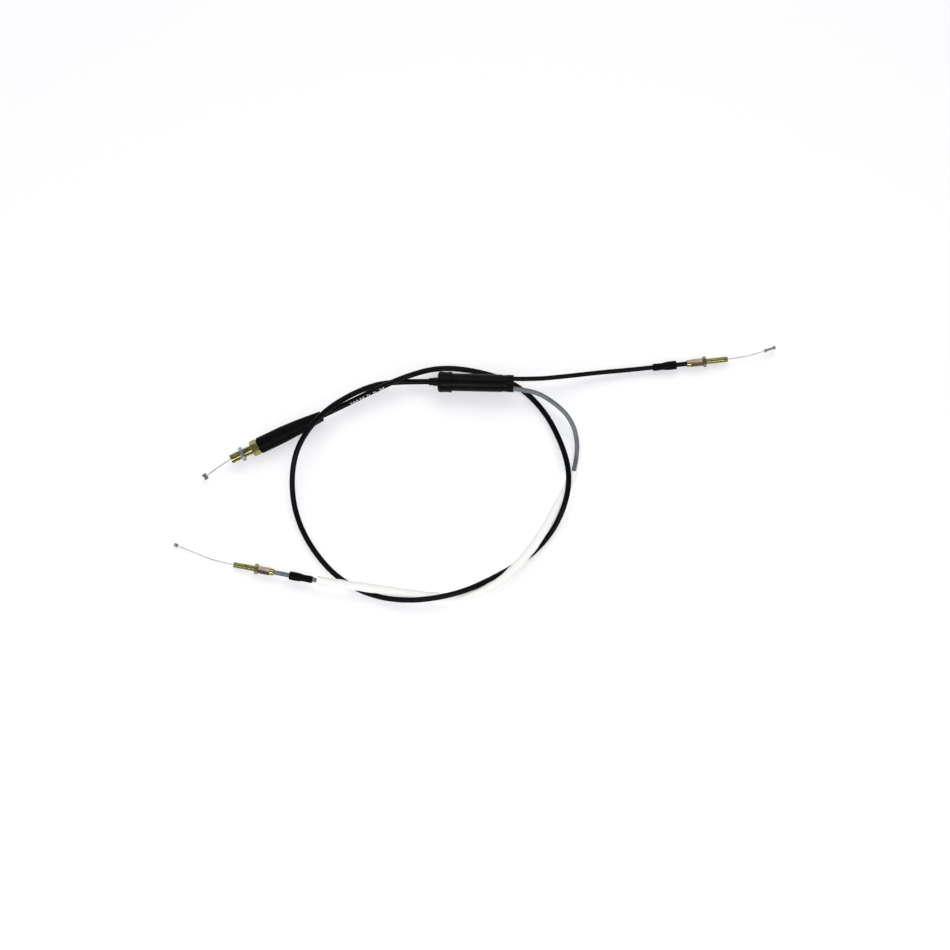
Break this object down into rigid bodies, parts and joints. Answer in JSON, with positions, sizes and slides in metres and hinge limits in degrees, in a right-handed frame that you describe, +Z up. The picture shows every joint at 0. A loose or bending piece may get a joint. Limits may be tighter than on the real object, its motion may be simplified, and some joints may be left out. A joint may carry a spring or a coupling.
{
  "type": "throttle cable",
  "caption": "Throttle control cable: a looped pull cable enters a splitter barrel with a slider, and shorter outlet cables end in threaded adjusters, locknuts, rubber boots and nipples.",
  "frame": {"origin": "middle of the footprint of the rigid pieces, on the surface that the cable lies on", "axes": "+Z up from that surface; +X from the lever end towards the end of outlet cable A; +Y to the left of that"},
  "size_m": [0.6516, 0.2777, 0.0247],
  "materials": {
    "black_jacket": "satin",
    "grey_jacket": "satin",
    "steel_winding": "satin",
    "liner": "gloss",
    "steel_wire": "satin",
    "yellow_zinc": "satin",
    "silver_zinc": "satin",
    "nipple_metal": "satin",
    "black_rubber": "matte",
    "black_plastic": "satin",
    "white_acetal": "gloss",
    "ferrule_brass": "satin",
    "white_sleeve": "matte"
  },
  "bodies": {
    "cable": {"main_jacket": "black_jacket", "main_winding": "steel_winding", "main_liner": "liner", "main_wire": "steel_wire", "a_jacket": "black_jacket", "a_winding": "steel_winding", "a_liner": "liner", "a_wire": "steel_wire", "b_jacket": "grey_jacket", "b_winding": "steel_winding", "b_liner": "liner", "b_wire": "steel_wire", "b_heat_sleeve": "white_sleeve", "main_end_ferrule": "ferrule_brass", "a_end_ferrule": "ferrule_brass", "b_end_ferrule": "ferrule_brass", "a_outlet_ferrule": "ferrule_brass", "b_outlet_ferrule": "ferrule_brass", "splitter_inlet_ferrule": "black_plastic", "splitter_cap": "black_plastic", "splitter_barrel": "black_plastic", "splitter_outlet_plug": "black_plastic"},
    "lever_pull": {"lever_wire": "steel_wire", "lever_nipple": "nipple_metal"},
    "slider": {"splitter_slider": "white_acetal", "slider_inlet_nipple": "nipple_metal", "slider_inlet_wire": "steel_wire", "slider_a_nipple": "nipple_metal", "slider_a_wire": "steel_wire", "slider_b_nipple": "nipple_metal", "slider_b_wire": "steel_wire"},
    "lever_fitting": {"lever_fitting": "yellow_zinc"},
    "lever_locknut": {"lever_locknut": "silver_zinc"},
    "lever_boot": {"lever_boot": "black_rubber"},
    "a_pull": {"a_pull_wire": "steel_wire", "a_nipple": "nipple_metal"},
    "a_adjuster": {"a_adjuster": "yellow_zinc"},
    "a_locknut": {"a_locknut": "yellow_zinc"},
    "a_boot": {"a_boot": "black_rubber"},
    "b_pull": {"b_pull_wire": "steel_wire", "b_nipple": "nipple_metal"},
    "b_adjuster": {"b_adjuster": "yellow_zinc"},
    "b_locknut": {"b_locknut": "yellow_zinc"},
    "b_boot": {"b_boot": "black_rubber"}
  },
  "joints": [
    {"name": "lever_pull", "type": "slide", "parent": "cable", "child": "lever_pull", "axis": [-0.9026, -0.4305, -0.0087], "range_m": [0, 0.022]},
    {"name": "slider_travel", "type": "slide", "parent": "cable", "child": "slider", "axis": [-0.9981, 0.0261, -0.0558], "range_m": [0, 0.022]},
    {"name": "a_wire_travel", "type": "slide", "parent": "cable", "child": "a_pull", "axis": [-0.9938, -0.1115, 0], "range_m": [0, 0.022]},
    {"name": "b_wire_travel", "type": "slide", "parent": "cable", "child": "b_pull", "axis": [0.98, -0.1834, 0.0767], "range_m": [0, 0.022]},
    {"name": "lever_fitting_spin", "type": "hinge", "parent": "cable", "child": "lever_fitting", "pos_m": [-0.2632, 0.0056, 0.0088], "axis": [0.9026, 0.4305, 0.0087], "range_deg": [-2592, 2592]},
    {"name": "lever_locknut_travel", "type": "slide", "parent": "cable", "child": "lever_locknut", "axis": [0.9026, 0.4305, 0.0087], "range_m": [-0.0091, 0.0091]},
    {"name": "lever_boot_slide", "type": "slide", "parent": "cable", "child": "lever_boot", "axis": [0.9026, 0.4305, 0.0087], "range_m": [0, 0.01]},
    {"name": "a_adjuster_spin", "type": "hinge", "parent": "cable", "child": "a_adjuster", "pos_m": [0.2735, 0.114, 0.00505], "axis": [-0.9938, -0.1115, 0], "range_deg": [0, 8640]},
    {"name": "a_locknut_travel", "type": "slide", "parent": "cable", "child": "a_locknut", "axis": [0.9938, 0.1115, 0], "range_m": [0, 0.0181]},
    {"name": "a_boot_slide", "type": "slide", "parent": "cable", "child": "a_boot", "axis": [0.9938, 0.1115, 0], "range_m": [0, 0.015]},
    {"name": "b_adjuster_spin", "type": "hinge", "parent": "cable", "child": "b_adjuster", "pos_m": [-0.2608, -0.1083, 0.0032], "axis": [0.98, -0.1834, 0.0767], "range_deg": [0, 8640]},
    {"name": "b_locknut_travel", "type": "slide", "parent": "cable", "child": "b_locknut", "axis": [-0.98, 0.1834, -0.0767], "range_m": [0, 0.0181]},
    {"name": "b_boot_slide", "type": "slide", "parent": "cable", "child": "b_boot", "axis": [-0.98, 0.1834, -0.0767], "range_m": [0, 0.021]}
  ],
  "couplings": [
    {"joint": "slider_travel", "follows": "lever_pull", "ratio": 1},
    {"joint": "a_wire_travel", "follows": "lever_pull", "ratio": 1},
    {"joint": "b_wire_travel", "follows": "lever_pull", "ratio": 1},
    {"joint": "lever_locknut_travel", "follows": "lever_fitting_spin", "m_per_rad": -0.00019894},
    {"joint": "a_locknut_travel", "follows": "a_adjuster_spin", "m_per_rad": 0.00011937},
    {"joint": "b_locknut_travel", "follows": "b_adjuster_spin", "m_per_rad": 0.00011937}
  ]
}
